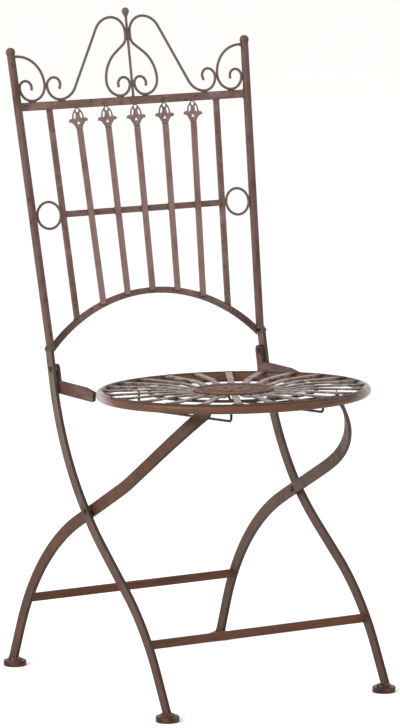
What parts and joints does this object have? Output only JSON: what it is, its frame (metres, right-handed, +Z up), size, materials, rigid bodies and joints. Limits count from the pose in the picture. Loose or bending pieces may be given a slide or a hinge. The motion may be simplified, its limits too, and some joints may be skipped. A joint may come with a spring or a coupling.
{
  "type": "folding garden chair",
  "caption": "Folding iron garden chair with crossed curved legs, fan back with scrolled crest, and a round strip seat that folds up against the back.",
  "frame": {"origin": "on the floor under the middle of the chair's outer box, in its open standing pose", "axes": "+Z up, -Y towards the front of the seat, +X to the right as seen from the front"},
  "size_m": [0.4194, 0.5426, 0.982],
  "materials": {
    "frame_paint": "worn mauve-brown paint",
    "scroll_iron": "worn dark brown paint",
    "seat_paint": "worn brown paint with pale rubbed spots",
    "rusty_paint": "orange-brown paint",
    "bare_iron": "dark rubbed iron"
  },
  "bodies": {
    "back_frame": {"arch": "frame_paint", "crest_finial": "scroll_iron", "crest_rod": "scroll_iron", "front_stretcher": "rusty_paint", "left_corner_scroll": "scroll_iron", "left_crest_scroll": "scroll_iron", "left_front_foot": "rusty_paint", "left_front_leg": "frame_paint", "left_inner_bar": "frame_paint", "left_leg_rivet": "bare_iron", "left_leg_washer": "bare_iron", "left_ring": "scroll_iron", "left_seat_rivet": "bare_iron", "left_seat_washer": "bare_iron", "left_upright": "frame_paint", "left_upright_cap": "frame_paint", "mid_rail": "frame_paint", "right_corner_scroll": "scroll_iron", "right_crest_scroll": "scroll_iron", "right_front_foot": "rusty_paint", "right_front_leg": "frame_paint", "right_inner_bar": "frame_paint", "right_leg_rivet": "bare_iron", "right_leg_washer": "bare_iron", "right_ring": "scroll_iron", "right_seat_rivet": "bare_iron", "right_seat_washer": "bare_iron", "right_upright": "frame_paint", "right_upright_cap": "frame_paint", "slat_1": "frame_paint", "slat_2": "frame_paint", "slat_3": "frame_paint", "slat_4": "frame_paint", "slat_5": "frame_paint", "slat_finial_1": "frame_paint", "slat_finial_2": "frame_paint", "slat_finial_3": "frame_paint", "slat_finial_4": "frame_paint", "slat_finial_5": "frame_paint", "top_rail": "frame_paint"},
    "rear_legs": {"left_rear_foot": "rusty_paint", "left_rear_leg": "frame_paint", "rear_stretcher": "rusty_paint", "right_rear_foot": "rusty_paint", "right_rear_leg": "frame_paint"},
    "seat": {"left_seat_arm": "seat_paint", "left_slide_guide": "bare_iron", "right_seat_arm": "seat_paint", "right_slide_guide": "bare_iron", "seat_hoop": "seat_paint", "seat_medallion": "seat_paint", "seat_rim": "seat_paint", "seat_strips": "seat_paint"},
    "slide_rod": {"slide_rod": "bare_iron"}
  },
  "joints": [
    {"name": "leg_fold", "type": "hinge", "parent": "back_frame", "child": "rear_legs", "pos_m": [0, 0.03809, 0.268], "axis": [-1, 0, 0], "range_deg": [0, 62.5]},
    {"name": "seat_fold", "type": "hinge", "parent": "back_frame", "child": "seat", "pos_m": [0, 0.13556, 0.46528], "axis": [-1, 0, 0], "range_deg": [0, 81.72]},
    {"name": "rod_slide", "type": "slide", "parent": "seat", "child": "slide_rod", "axis": [0, 0.9993, -0.0384], "range_m": [0, 0.2339]}
  ],
  "couplings": [
    {"joint": "seat_fold", "follows": "leg_fold", "ratio": 1.3074},
    {"joint": "rod_slide", "follows": "leg_fold", "m_per_rad": 0.21441}
  ]
}
